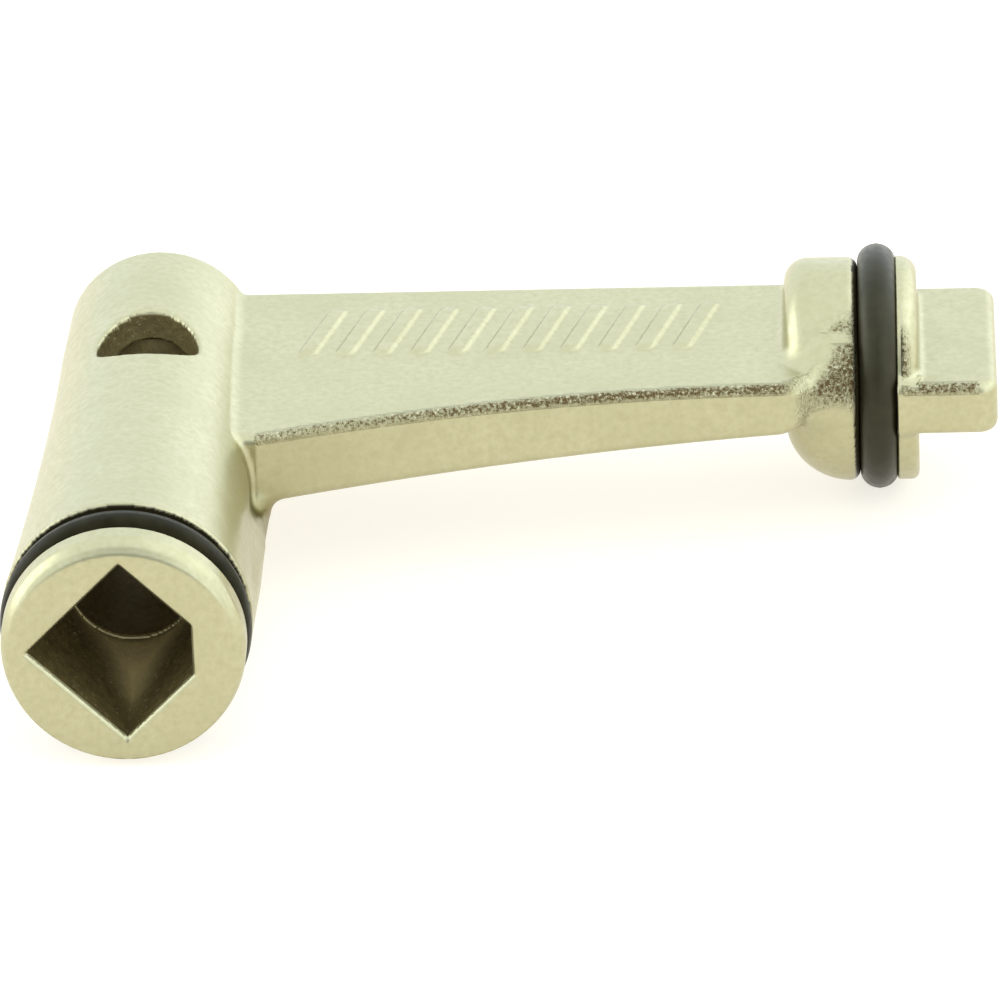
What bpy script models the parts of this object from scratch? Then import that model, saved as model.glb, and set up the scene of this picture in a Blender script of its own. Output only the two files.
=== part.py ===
"""Radiator bleed key: a cast crank key with a keyed square socket, a flat tang and two O-rings.

The key lies flat, as it would on a bench. Its barrel runs along Y with the socket's mouth towards
-Y, and its arm runs along +X to the boss and the tang. Every shape is placed from the barrel's
axis, which meets the mouth's plane at the key frame's origin.
"""
import math

import bmesh
import bpy
from mathutils import Vector

MM = 0.001
SEGMENTS = 64
EDGE_STEPS = 4

# Barrel, turned about the Y axis
BARREL_LENGTH = 29.3 * MM
MOUTH_RADIUS = 5.0 * MM
MOUTH_LAND_RADIUS = 4.87 * MM
MOUTH_EDGE_RADIAL = 0.45 * MM
MOUTH_EDGE_AXIAL = 0.35 * MM
BARREL_WAIST_RADIUS = 4.05 * MM
FLARE_START = 25.0 * MM
FLARE_POWER = 1.7
END_RADIUS = 3.92 * MM
END_EDGE = 0.3 * MM

# Seal groove and O-ring near the mouth
BARREL_GROOVE_START = 1.45 * MM
BARREL_GROOVE_WIDTH = 1.75 * MM
BARREL_GROOVE_FLOOR = 4.05 * MM
BARREL_RING_INNER = 4.32 * MM
BARREL_RING_WIDTH = 1.2 * MM

# Keyed square socket, turned 45 degrees, and the bore behind it
SOCKET_FLATS = 5.4 * MM
SOCKET_KEY_OFFSET = 2.74 * MM
SOCKET_SQUARE_DEPTH = 3.0 * MM
SOCKET_DEPTH = 6.2 * MM
SOCKET_SIDES = 40
BORE_RADIUS = 2.5 * MM
BORE_END = 23.2 * MM

# Window in the barrel's top: two half ellipses, the flatter one towards the mouth
WINDOW_Y = 20.3 * MM
WINDOW_HALF_WIDTH = 2.08 * MM
WINDOW_NEAR = 1.5 * MM
WINDOW_FAR = 2.75 * MM

# Arm, a flat-topped bar that narrows from the barrel to the boss
ARM_TOP = 2.08 * MM
ARM_ROOT_BOTTOM = -1.1 * MM
ARM_END_BOTTOM = -0.2 * MM
ARM_BACK = 28.9 * MM
ARM_ROOT_FRONT = 14.9 * MM
ARM_END_FRONT = 18.7 * MM
ARM_ROOT_X = 4.6 * MM
ARM_END_X = 26.6 * MM
ARM_STATIONS = 12
ARM_EDGE = 0.25 * MM

# Cheek: the arm's last stretch, which draws back and slopes down into the boss
CHEEK_START = 25.7 * MM
CHEEK_LENGTH = 2.9 * MM
CHEEK_STATIONS = 5
CHEEK_BACK = 1.8 * MM
CHEEK_DROP = 1.2 * MM
CHEEK_SLOPE = 2.5 * MM

# Web that stiffens the arm's root along the barrel's side, below the arm
WEB_X = 4.85 * MM
WEB_START = 3.5 * MM
WEB_TOP = -0.6 * MM
WEB_BOTTOM = -2.3 * MM
WEB_FILLET_START = 14.0 * MM
WEB_FILLET_RADIUS = 0.9 * MM
WEB_FILLET_STEPS = 5

# Boss, groove, collar and tang, all on one axis parallel to X
BOSS_Y = 24.9 * MM
BOSS_RADIUS = 4.65 * MM
BOSS_Z = -0.1 * MM
BOSS_START = 26.2 * MM
BOSS_EDGE = 1.0 * MM
BOSS_UNDER_EDGE = 2.5 * MM
BOSS_GROOVE_START = 28.95 * MM
BOSS_GROOVE_WIDTH = 2.0 * MM
BOSS_GROOVE_FLOOR = 3.3 * MM
BOSS_RING_INNER = 3.6 * MM
BOSS_RING_WIDTH = 1.4 * MM
COLLAR_END = 31.7 * MM
COLLAR_EDGE = 0.6 * MM
TANG_END = 34.95 * MM
TANG_WIDTH = 9.8 * MM
TANG_TOP = 1.35 * MM
TANG_BOTTOM = -0.95 * MM
TANG_CORNER = 0.8 * MM
TANG_EDGE = 0.4 * MM

# Both O-rings stand the same height off their axes, so the key rests level on them
RING_OUTER = 5.1 * MM

# Corner of the whole key's box, used to stand the origin under the box's centre
BOX_LOW = Vector((-RING_OUTER, 0.0, -RING_OUTER))
BOX_HIGH = Vector((TANG_END, BOSS_Y + RING_OUTER, RING_OUTER))


def clear_scene():
    """Remove every object, so that the script always starts from nothing."""
    for old in list(bpy.data.objects):
        bpy.data.objects.remove(old, do_unlink=True)


def make_material(name, colour, roughness, metallic):
    """Return a Principled material in one colour."""
    material = bpy.data.materials.new(name)
    material.use_nodes = True
    shader = material.node_tree.nodes["Principled BSDF"]
    shader.inputs["Base Color"].default_value = (*colour, 1.0)
    shader.inputs["Roughness"].default_value = roughness
    shader.inputs["Metallic"].default_value = metallic
    return material


def object_from_bmesh(name, bm):
    """Turn a bmesh into a linked object whose round faces are shaded smooth."""
    bmesh.ops.remove_doubles(bm, verts=bm.verts, dist=1e-7)
    bmesh.ops.recalc_face_normals(bm, faces=bm.faces)
    mesh = bpy.data.meshes.new(name)
    bm.to_mesh(mesh)
    bm.free()
    mesh.shade_smooth()
    mesh.set_sharp_from_angle(angle=math.radians(35))
    made = bpy.data.objects.new(name, mesh)
    bpy.context.scene.collection.objects.link(made)
    return made


def turned(name, profile, axis, centre=(0.0, 0.0, 0.0)):
    """Turn (radius, distance along axis) points about the X or Y axis through centre."""
    bm = bmesh.new()
    rings = []
    for radius, along in profile:
        ring = []
        for step in range(SEGMENTS):
            angle = 2.0 * math.pi * step / SEGMENTS
            across = radius * math.cos(angle)
            up = radius * math.sin(angle)
            place = (along, across, up) if axis == "X" else (across, along, up)
            ring.append(bm.verts.new(Vector(place) + Vector(centre)))
        rings.append(ring)
    closed = profile[0] == profile[-1]
    for ring, following in zip(rings, rings[1:]):
        for step in range(SEGMENTS):
            after = (step + 1) % SEGMENTS
            bm.faces.new((ring[step], ring[after], following[after], following[step]))
    if not closed:
        bm.faces.new(rings[0])
        bm.faces.new(rings[-1])
    return object_from_bmesh(name, bm)


def prism(name, outline, low, high):
    """Extrude an outline of (x, y) points along Z."""
    bm = bmesh.new()
    sides = [[bm.verts.new((x, y, z)) for x, y in outline] for z in (low, high)]
    bm.faces.new(sides[0])
    bm.faces.new(sides[1])
    count = len(outline)
    for index in range(count):
        after = (index + 1) % count
        bm.faces.new((sides[0][index], sides[0][after], sides[1][after], sides[1][index]))
    return object_from_bmesh(name, bm)


def add_bevel(target, width, segments):
    """Round every sharp edge of a solid."""
    bevel = target.modifiers.new("rounded_edges", "BEVEL")
    bevel.width = width
    bevel.segments = segments
    bevel.limit_method = "ANGLE"
    bevel.angle_limit = math.radians(40)


def add_boolean(target, tool, operation):
    """Join a solid to the target, or cut it away, and keep the tool as a hidden guide."""
    step = target.modifiers.new(f"{operation.lower()}_{tool.name}", "BOOLEAN")
    step.operation = operation
    step.solver = "EXACT"
    step.object = tool
    tool.hide_render = True
    tool.display_type = "WIRE"


def barrel_radius(along):
    """Radius of the barrel's outside: a waist that flares towards the mouth."""
    if along >= FLARE_START:
        share = (along - FLARE_START) / (BARREL_LENGTH - FLARE_START)
        return BARREL_WAIST_RADIUS + share * (END_RADIUS - BARREL_WAIST_RADIUS)
    groove_end = BARREL_GROOVE_START + BARREL_GROOVE_WIDTH
    share = (FLARE_START - along) / (FLARE_START - groove_end)
    return BARREL_WAIST_RADIUS + (MOUTH_RADIUS - BARREL_WAIST_RADIUS) * share ** FLARE_POWER


def rounded_edge(radius, along, edge, outward):
    """Quarter round, from the end face out to the side (outward) or from the side to the face."""
    points = []
    for step in range(EDGE_STEPS + 1):
        angle = 0.5 * math.pi * step / EDGE_STEPS
        if outward:
            points.append((radius - edge * (1.0 - math.sin(angle)), along + edge * (1.0 - math.cos(angle))))
        else:
            points.append((radius - edge * (1.0 - math.cos(angle)), along - edge * (1.0 - math.sin(angle))))
    return points


def barrel_profile():
    """Outside of the barrel, from the middle of the mouth to the middle of the far end."""
    points = []
    for step in range(EDGE_STEPS + 1):
        angle = 0.5 * math.pi * step / EDGE_STEPS
        radius = MOUTH_LAND_RADIUS - MOUTH_EDGE_RADIAL * (1.0 - math.sin(angle))
        points.append((radius, MOUTH_EDGE_AXIAL * (1.0 - math.cos(angle))))
    groove_end = BARREL_GROOVE_START + BARREL_GROOVE_WIDTH
    points.append((MOUTH_LAND_RADIUS, BARREL_GROOVE_START))
    points.append((BARREL_GROOVE_FLOOR, BARREL_GROOVE_START))
    points.append((BARREL_GROOVE_FLOOR, groove_end))
    flare_steps = 10
    for step in range(flare_steps + 1):
        along = groove_end + (FLARE_START - groove_end) * step / flare_steps
        points.append((barrel_radius(along), along))
    return points + rounded_edge(END_RADIUS, BARREL_LENGTH, END_EDGE, False)


def boss_profile(edge):
    """Outside of the boss and its collar, with the seal groove between them."""
    groove_end = BOSS_GROOVE_START + BOSS_GROOVE_WIDTH
    points = rounded_edge(BOSS_RADIUS, BOSS_START, edge, True)
    points.append((BOSS_RADIUS, BOSS_GROOVE_START))
    points.append((BOSS_GROOVE_FLOOR, BOSS_GROOVE_START))
    points.append((BOSS_GROOVE_FLOOR, groove_end))
    points.append((BOSS_RADIUS, groove_end))
    return points + rounded_edge(BOSS_RADIUS, COLLAR_END, COLLAR_EDGE, False)


def make_boss():
    """Turn the boss about its axis, with the larger edge round on its underside."""
    bm = bmesh.new()
    columns = []
    for step in range(SEGMENTS):
        angle = 2.0 * math.pi * step / SEGMENTS
        under = max(0.0, -math.sin(angle))
        profile = boss_profile(BOSS_EDGE + (BOSS_UNDER_EDGE - BOSS_EDGE) * under)
        column = []
        for radius, along in profile:
            across = BOSS_Y + radius * math.cos(angle)
            column.append(bm.verts.new((along, across, BOSS_Z + radius * math.sin(angle))))
        columns.append(column)
    for step, column in enumerate(columns):
        following = columns[(step + 1) % SEGMENTS]
        for index in range(len(column) - 1):
            bm.faces.new((column[index], column[index + 1], following[index + 1], following[index]))
    bm.faces.new([column[0] for column in columns])
    bm.faces.new([column[-1] for column in columns])
    return object_from_bmesh("boss_solid", bm)


def ring_profile(inner, outer, width, middle):
    """Section of an O-ring that its groove has pressed slightly flat."""
    points = []
    steps = 16
    for step in range(steps):
        angle = 2.0 * math.pi * step / steps
        radius = 0.5 * (inner + outer) + 0.5 * (outer - inner) * math.cos(angle)
        points.append((radius, middle - 0.5 * width * math.sin(angle)))
    points.append(points[0])
    return points


def arm_front(x):
    """Y of the arm's front edge: a shallow curve that levels out at the boss."""
    share = (ARM_END_X - min(max(x, ARM_ROOT_X), ARM_END_X)) / (ARM_END_X - ARM_ROOT_X)
    return ARM_END_FRONT - (ARM_END_FRONT - ARM_ROOT_FRONT) * share * share


def arm_section(x):
    """Corners (y, z) of the arm's section; the front top corner slopes down along the cheek."""
    share = min(x / ARM_END_X, 1.0)
    bottom = ARM_ROOT_BOTTOM + share * share * (ARM_END_BOTTOM - ARM_ROOT_BOTTOM)
    cheek = max(x - CHEEK_START, 0.0) / CHEEK_LENGTH
    cheek = cheek * cheek * (3.0 - 2.0 * cheek)
    front = arm_front(x) + CHEEK_BACK * cheek
    corner = (front, ARM_TOP - CHEEK_DROP * cheek)
    return (front, bottom), (ARM_BACK, bottom), (ARM_BACK, ARM_TOP), (front + CHEEK_SLOPE, ARM_TOP), corner


def make_arm():
    """Loft the arm through its sections, from the barrel's middle to inside the boss."""
    places = [CHEEK_START * step / ARM_STATIONS for step in range(ARM_STATIONS + 1)]
    for step in range(1, CHEEK_STATIONS + 1):
        places.append(CHEEK_START + CHEEK_LENGTH * step / CHEEK_STATIONS)
    bm = bmesh.new()
    stations = [[bm.verts.new((x, y, z)) for y, z in arm_section(x)] for x in places]
    bm.faces.new(stations[0])
    bm.faces.new(stations[-1])
    corners = len(stations[0])
    for station, following in zip(stations, stations[1:]):
        for index in range(corners):
            after = (index + 1) % corners
            bm.faces.new((station[index], station[after], following[after], following[index]))
    arm = object_from_bmesh("arm_solid", bm)
    add_bevel(arm, ARM_EDGE, 2)
    return arm


def make_web():
    """Flat web from the groove to the arm's root, with a fillet where the arm begins."""
    outline = [(0.0, WEB_START), (WEB_X, WEB_START)]
    for step in range(WEB_FILLET_STEPS + 1):
        angle = 0.5 * math.pi * step / WEB_FILLET_STEPS
        x = WEB_X + WEB_FILLET_RADIUS * (1.0 - math.cos(angle))
        outline.append((x, WEB_FILLET_START + WEB_FILLET_RADIUS * math.sin(angle)))
    reach = WEB_FILLET_START + 2.0 * WEB_FILLET_RADIUS
    outline += [(WEB_X + WEB_FILLET_RADIUS, reach), (0.0, reach)]
    return prism("web_solid", outline, WEB_BOTTOM, WEB_TOP)


def socket_radius(angle):
    """Distance from the axis to the socket's wall: a square on its corner, cut short towards +X."""
    reach = SOCKET_KEY_OFFSET / max(math.cos(angle), 1e-6) if math.cos(angle) > 0.0 else math.inf
    for side in range(4):
        facing = math.cos(angle - math.radians(45.0 + 90.0 * side))
        if facing > 1e-6:
            reach = min(reach, 0.5 * SOCKET_FLATS / facing)
    return reach


def socket_angles():
    """Even steps round the socket, with the steps beside the cut corner moved onto its edges."""
    half = SOCKET_FLATS / math.sqrt(2.0)
    edge = math.atan2(half - SOCKET_KEY_OFFSET, SOCKET_KEY_OFFSET)
    angles = []
    for step in range(SOCKET_SIDES):
        angle = 2.0 * math.pi * step / SOCKET_SIDES
        for target in (edge, 2.0 * math.pi - edge):
            if abs(angle - target) < math.pi / SOCKET_SIDES:
                angle = target
        angles.append(angle)
    return angles


def make_socket_cutter():
    """Keyed square hole that blends into the round bore behind it."""
    bm = bmesh.new()
    depths = [(-1.0 * MM, 0.0), (SOCKET_SQUARE_DEPTH, 0.0)]
    blend_steps = 4
    for step in range(1, blend_steps + 1):
        share = step / blend_steps
        depths.append((SOCKET_SQUARE_DEPTH + share * (SOCKET_DEPTH - SOCKET_SQUARE_DEPTH), share))
    rings = []
    for depth, share in depths:
        ring = []
        for angle in socket_angles():
            reach = (1.0 - share) * socket_radius(angle) + share * BORE_RADIUS
            ring.append(bm.verts.new((reach * math.cos(angle), depth, reach * math.sin(angle))))
        rings.append(ring)
    for ring, following in zip(rings, rings[1:]):
        for step in range(SOCKET_SIDES):
            after = (step + 1) % SOCKET_SIDES
            bm.faces.new((ring[step], ring[after], following[after], following[step]))
    bm.faces.new(rings[0])
    bm.faces.new(rings[-1])
    return object_from_bmesh("socket_cutter", bm)


def make_tang():
    """Flat blade beyond the collar, wide along Y and thin along Z, with round end corners."""
    low = BOSS_Y - 0.5 * TANG_WIDTH
    high = BOSS_Y + 0.5 * TANG_WIDTH
    inner = TANG_END - TANG_CORNER
    outline = [(0.5 * (BOSS_GROOVE_START + BOSS_GROOVE_WIDTH + COLLAR_END), low)]
    for step in range(EDGE_STEPS + 1):
        angle = 0.5 * math.pi * step / EDGE_STEPS
        outline.append((inner + TANG_CORNER * math.sin(angle), low + TANG_CORNER * (1.0 - math.cos(angle))))
    for x, y in reversed(outline[1:]):
        outline.append((x, low + high - y))
    outline.append((outline[0][0], high))
    tang = prism("tang_solid", outline, TANG_BOTTOM, TANG_TOP)
    add_bevel(tang, TANG_EDGE, 2)
    return tang


def make_key_body(material):
    """The one-piece casting: barrel, web, arm, boss, collar and tang, less its hollows."""
    body = turned("key_body", barrel_profile(), "Y")
    bore_outline = ((BORE_RADIUS, SOCKET_DEPTH - 0.5 * MM), (BORE_RADIUS, BORE_END))
    bore = turned("bore_cutter", bore_outline, "Y")
    window = make_window_cutter()
    guides = [make_arm(), make_web(), make_boss(), make_tang()]
    cutters = [make_socket_cutter(), bore, window]
    for guide in guides:
        add_boolean(body, guide, "UNION")
    for cutter in cutters:
        add_boolean(body, cutter, "DIFFERENCE")
    body.data.materials.append(material)
    return [body] + guides + cutters


def make_window_cutter():
    """Cutter for the window in the barrel's top, which opens into the end of the bore."""
    outline = []
    steps = 32
    for step in range(steps):
        angle = 2.0 * math.pi * step / steps
        reach = WINDOW_FAR if math.sin(angle) > 0.0 else WINDOW_NEAR
        outline.append((WINDOW_HALF_WIDTH * math.cos(angle), WINDOW_Y + reach * math.sin(angle)))
    return prism("window_cutter", outline, 0.0, MOUTH_RADIUS + 1.0 * MM)


def make_rings(material):
    """The two rubber seals, one in each groove."""
    barrel_middle = BARREL_GROOVE_START + 0.5 * BARREL_GROOVE_WIDTH
    barrel_section = ring_profile(BARREL_RING_INNER, RING_OUTER, BARREL_RING_WIDTH, barrel_middle)
    socket_ring = turned("socket_o_ring", barrel_section, "Y")
    boss_middle = BOSS_GROOVE_START + 0.5 * BOSS_GROOVE_WIDTH
    boss_section = ring_profile(BOSS_RING_INNER, RING_OUTER, BOSS_RING_WIDTH, boss_middle)
    tang_ring = turned("tang_o_ring", boss_section, "X", (0.0, BOSS_Y, 0.0))
    for ring in (socket_ring, tang_ring):
        ring.data.materials.append(material)
    return [socket_ring, tang_ring]


def main():
    clear_scene()
    frame = bpy.data.objects.new("key_frame", None)
    bpy.context.scene.collection.objects.link(frame)
    centre = 0.5 * (BOX_LOW + BOX_HIGH)
    frame.location = (-centre.x, -centre.y, -BOX_LOW.z)
    metal = make_material("nickel_plated_casting", (0.66, 0.64, 0.43), 0.35, 1.0)
    rubber = make_material("black_rubber", (0.02, 0.02, 0.018), 0.5, 0.0)
    for made in make_key_body(metal) + make_rings(rubber):
        made.parent = frame


main()
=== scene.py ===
"""Looks of the radiator bleed key: a plated casting with soft cast edges and two rubber seals.

The casting is drawn as one implicit solid, in millimetres in the key's own frame (barrel axis along
Y, mouth at y = 0, arm along +X), and meshed on a fine grid. Each fillet is a rounded union, so every
change of shape has the soft corner that a real casting has.
"""

import math

import bpy
import numpy as np
from mathutils import Matrix, Vector


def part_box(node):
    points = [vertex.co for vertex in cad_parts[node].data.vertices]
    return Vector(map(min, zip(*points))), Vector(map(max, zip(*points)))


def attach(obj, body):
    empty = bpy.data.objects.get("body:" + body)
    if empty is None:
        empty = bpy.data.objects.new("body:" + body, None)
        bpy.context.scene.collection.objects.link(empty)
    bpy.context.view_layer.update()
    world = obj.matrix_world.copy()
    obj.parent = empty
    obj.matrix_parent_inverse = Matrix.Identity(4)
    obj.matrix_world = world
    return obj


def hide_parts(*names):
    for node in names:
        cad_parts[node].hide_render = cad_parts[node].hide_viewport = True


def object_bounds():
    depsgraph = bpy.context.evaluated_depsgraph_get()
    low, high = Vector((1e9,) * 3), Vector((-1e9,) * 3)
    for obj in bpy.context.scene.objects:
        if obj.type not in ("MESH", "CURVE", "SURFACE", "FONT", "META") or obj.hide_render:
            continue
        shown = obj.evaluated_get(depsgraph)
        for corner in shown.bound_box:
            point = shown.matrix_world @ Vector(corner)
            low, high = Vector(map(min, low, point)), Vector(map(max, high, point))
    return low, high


MM = 0.001

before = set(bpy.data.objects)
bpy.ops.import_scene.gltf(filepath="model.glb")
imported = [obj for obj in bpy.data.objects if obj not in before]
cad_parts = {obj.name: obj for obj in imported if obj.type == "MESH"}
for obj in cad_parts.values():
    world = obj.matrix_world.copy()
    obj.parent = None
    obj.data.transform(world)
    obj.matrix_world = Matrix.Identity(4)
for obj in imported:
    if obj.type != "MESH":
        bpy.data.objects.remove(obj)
cad_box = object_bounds()

# Where the key's own frame sits: the seal's middle gives the barrel's axis, the body its mouth
ring_low, ring_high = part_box("socket_o_ring")
body_low, body_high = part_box("key_body")
boss_ring_low, boss_ring_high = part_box("tang_o_ring")
KEY_ORIGIN = Vector((
    0.5 * (ring_low[0] + ring_high[0]),
    body_low[1],
    0.5 * (ring_low[2] + ring_high[2]),
))


def in_key(point):
    """World point in metres to the key's own frame in millimetres."""
    return (Vector(point) - KEY_ORIGIN) / MM


RING_OUTER = in_key(ring_high).x
RING_MIDDLE = 0.5 * (in_key(ring_low).y + in_key(ring_high).y)
BOSS_AXIS_Y = 0.5 * (in_key(boss_ring_low).y + in_key(boss_ring_high).y)
TANG_END = in_key(body_high).x

# Barrel
BARREL_LENGTH = 29.3
MOUTH_RADIUS = 5.0
LAND_RADIUS = 4.87
LAND_END = 2.3
FACE_RADIUS = 4.58
FACE_DROP = 0.27
LIP_SLOPE = 1.4
LIP_ROUND = 0.3
LIP_CREASE = 0.05
WAIST_RADIUS = 4.05
END_RADIUS = 3.92
END_ROUND = 0.35
FLARE_START = 25.0
FLARE_END = 3.2
FLARE_POWER = 1.7
GROOVE_WIDTH = 1.75
GROOVE_FLOOR = 4.05
GROOVE_REACH = 1.5
EDGE_BREAK = 0.1

# Keyed socket, bore and window
SOCKET_HALF = 2.7
SOCKET_KEY = 2.74
SOCKET_SQUARE_DEPTH = 3.0
SOCKET_DEPTH = 6.2
SOCKET_CHAMFER = 0.14
RIM_OVERLAP = 0.1
RIM_STEP = 0.07
RIM_WIDTH = 0.25
BORE_RADIUS = 2.5
BORE_BEHIND = 2.75
BORE_END = 23.2
WINDOW_HALF_WIDTH = 2.08
WINDOW_NEAR = 1.5
WINDOW_FAR = 2.75
WINDOW_Y = 20.3

# Arm and web
ARM_TOP = 2.08
ARM_BOTTOM_ROOT = -1.1
ARM_BOTTOM_END = -0.2
ARM_BACK = 28.9
ARM_FRONT_ROOT = 14.9
ARM_FRONT_END = 18.7
ARM_ROOT_X = 4.6
ARM_END_X = 26.6
ARM_TIP_X = 28.6
ARM_EDGE = 0.42
CHEEK_START = 25.9
CHEEK_LENGTH = 2.8
CHEEK_EASE = 1.0
CHEEK_STEEP = 0.41
CHEEK_EDGE = 0.7
CHEEK_FILLET = 1.3
CHEEK_BEHIND = 22.6
CHEEK_FADE = 1.5
WEB_X = 4.66
WEB_LEAN = 0.034
WEB_ROUND = 0.75
WEB_START = 3.4
WEB_END = 16.0
WEB_TOP = -0.6
WEB_FALL = 0.35
WEB_FALL_START = 9.0
WEB_FALL_LENGTH = 4.0
WEB_BOTTOM = -2.3

# Boss, collar and tang
BOSS_RADIUS = 4.65
BOSS_Z = -0.1
BOSS_START = 26.2
BOSS_ROUND = 1.0
BOSS_UNDER_ROUND = 2.9
BOSS_GROOVE_START = 29.25
BOSS_GROOVE_END = 30.8
BOSS_GROOVE_BREAK = 0.45
BOSS_BREAK_REACH = 0.5
BOSS_BREAK_FADE = 0.4
BOSS_GROOVE_FLOOR = 3.3
COLLAR_END = 31.7
COLLAR_ROUND = 0.72
COLLAR_UNDER_ROUND = 0.3
TANG_WIDTH = 9.8
TANG_TOP = 1.35
TANG_BOTTOM = -0.95
TANG_CORNER = 0.8
TANG_EDGE = 0.45
TANG_OVERLAP = 1.0

# Seals: each fits its groove closely, and its mould has left a faint line round the outside
SOCKET_SEAL_INNER = GROOVE_FLOOR + 0.02
SOCKET_SEAL_OUTER = RING_OUTER - 0.08
SOCKET_SEAL_WIDTH = 1.55
TANG_SEAL_X = 30.04
TANG_SEAL_INNER = 3.62
TANG_SEAL_OUTER = RING_OUTER
TANG_SEAL_WIDTH = 1.58
SEAL_TURNS = 192
SEAL_SIDES = 48
FLASH_HEIGHT = 0.012
FLASH_SPREAD = 0.07

# Plain slanted grip ribs on the arm's flat top
RIB_FIRST_X = 7.0
RIB_PITCH = 1.55
RIB_COUNT = 11
RIB_WIDTH = 0.68
RIB_LENGTH = 4.4
RIB_Y = 24.7
RIB_SLANT = 0.28
RIB_HEIGHT = 0.14
RIB_CORNER = 0.3
RIB_EDGE = 0.1
RIB_FILLET = 0.16
RIB_END_LENGTH = 0.5
RIB_END_FALL = 0.5

# Fillets and softened edges where the shapes meet
ROOT_FILLET = 0.8
BARREL_FILLET = 0.3
WEB_FILLET = 1.2
WEB_FILLET_START = 2.0
WEB_FILLET_GROWTH = 6.5
WEB_FILLET_FADE = 2.6
TANG_FILLET = 0.4
BOSS_FILLET = 0.4
WINDOW_EDGE = 0.16
SOCKET_EDGE = 0.05

# Unplated brown hollows: where they start and end, and how near a wall counts as on it
HOLLOW_START = 0.16
HOLLOW_PAST_END = 0.4
HOLLOW_RADIUS = 3.95
WALL_NEAR = 0.12
WINDOW_LIP = 0.15

# Painted light in the hollows: a painted highlight line at the socket's inner rim, a painted lit fan in its
# lower corner, a lighter start of the bore, and painted light on the walls seen through the window
RIM_LINE_Y = SOCKET_DEPTH - 0.02
RIM_LINE_WIDTH = 0.15
RIM_LINE_REACH = 0.1
RIM_LINE_BRIGHTENING = 0.6
FAN_X = 0.2
FAN_NARROW = 0.35
FAN_WIDE = 1.7
FAN_START = 0.3
FAN_STRENGTH = 2.2
FAN_POWER = 2.2
BORE_LIGHTER = 0.3
WINDOW_BEFORE = 3.0
WINDOW_LIGHT_RADIUS = 3.9
WINDOW_LIGHT_LEAST = 0.06
WINDOW_LIGHT_GAIN = 0.2
WINDOW_LIGHT_END = 3.6
WINDOW_LIGHT_FADE = 1.2

# Grease and painted shade in the seal grooves, and a painted shadow on the boss's edge beside its groove:
# how near a groove's wall, and how far below the outside
DARK_GROOVE_NEAR = 0.05
BOSS_DARK_BELOW = 0.2
MOUTH_DARK_BELOW = 0.08
BREAK_SHADOW_X = BOSS_GROOVE_START - 0.1
BREAK_SHADOW_WIDTH = 0.13
BREAK_SHADOW_DEEPEST = 1.0

# Painted shade at the arm's root: the spot in the corner, and the stretch round it
CORNER_SPOT = (4.9, 14.2, -1.2)
CORNER_SPREAD = (1.0, 1.4, 0.9)
CORNER_STRENGTH = 0.75
ROOT_STRENGTH = 0.3
ROOT_X = 4.5
ROOT_SPREAD = 7.0
ROOT_TOP = 1.9
ROOT_START_X = 3.8
ROOT_START_LENGTH = 0.8
ROOT_START_Y = 10.8
ROOT_GROWTH = 2.4
ROOT_END_Y = 18.2
ROOT_FADE = 3.0

# Raw speckled surfaces, partly rough thin plating and partly painted dark reflection picked by which way
# they face: how far they lean back from upright in degrees, and where they lie
EDGE_LEAN = 45.0
EDGE_LEAN_WIDTH = 34.0
BOSS_LEAN = 26.0
BOSS_LEAN_WIDTH = 27.0
BOSS_RAW_START = 26.3
BOSS_RAW_SLANT = 0.03
BOSS_RAW_FADE = 0.7
BOSS_RAW_SHARE = 0.88
BOSS_RAW_MARGIN = 0.15
BOSS_RAW_FACING = -0.35
COLLAR_LEAN = 29.0
COLLAR_LEAN_WIDTH = 17.0
COLLAR_RAW_START = 31.05
COLLAR_RAW_SHARE = 0.8
TANG_RAW_END = 34.2
TANG_RAW_SHARE = 0.9
TANG_RAW_DEPTH = 0.6
ARM_RAW_DEPTH = 0.9
ARM_RAW_WIDTH = 0.6
ARM_RAW_LEAST = 0.7
ARM_RAW_RISE_X = 8.0
ARM_RAW_RISE_LENGTH = 9.0
FLAT_FACING = 0.5
FORWARD_FACING = -0.1

# Meshing: the grid's step, and the stretches of x, y and z that hold small shapes and get a finer one
GRID_STEP = 0.15
FINE_STEP = 0.1
SLOPE_REACH = 0.02
SETTLE_ROUNDS = 3
LEAST_SLOPE = 0.05
LONGEST_MOVE = 0.6 * GRID_STEP
FINE_SPANS = (
    ((-2.8, 2.8), (25.8, 27.6), (28.7, 35.2)),
    ((-0.3, 3.6), (5.8, 6.7)),
    ((-2.8, 0.2), (1.85, 2.35)),
)


def round_max(a, b, radius):
    """Intersection of two solids whose shared edge is rounded to the radius."""
    over_a = np.maximum(a + radius, 0.0)
    over_b = np.maximum(b + radius, 0.0)
    return np.minimum(np.maximum(a, b), -radius) + np.sqrt(over_a * over_a + over_b * over_b)


def round_min(a, b, radius):
    """Union of two solids with a fillet of the radius where they meet."""
    near_a = np.maximum(radius - a, 0.0)
    near_b = np.maximum(radius - b, 0.0)
    return np.maximum(np.minimum(a, b), radius) - np.sqrt(near_a * near_a + near_b * near_b)


def rise(value, start, length):
    """Even slope from 0 at the start to 1 a length further on."""
    return np.clip((value - start) / length, 0.0, 1.0)


def fall(value, end, length):
    """Even slope from 1, a length before the end, to 0 at the end."""
    return np.clip((end - value) / length, 0.0, 1.0)


def barrel_radius(y):
    """Outside radius along the barrel: a waist that flares towards the mouth."""
    share = fall(y, FLARE_START, FLARE_START - FLARE_END)
    flare = WAIST_RADIUS + (MOUTH_RADIUS - WAIST_RADIUS) * share ** FLARE_POWER
    draft = rise(y, FLARE_START, BARREL_LENGTH - FLARE_START)
    return flare - (WAIST_RADIUS - END_RADIUS) * draft


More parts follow.
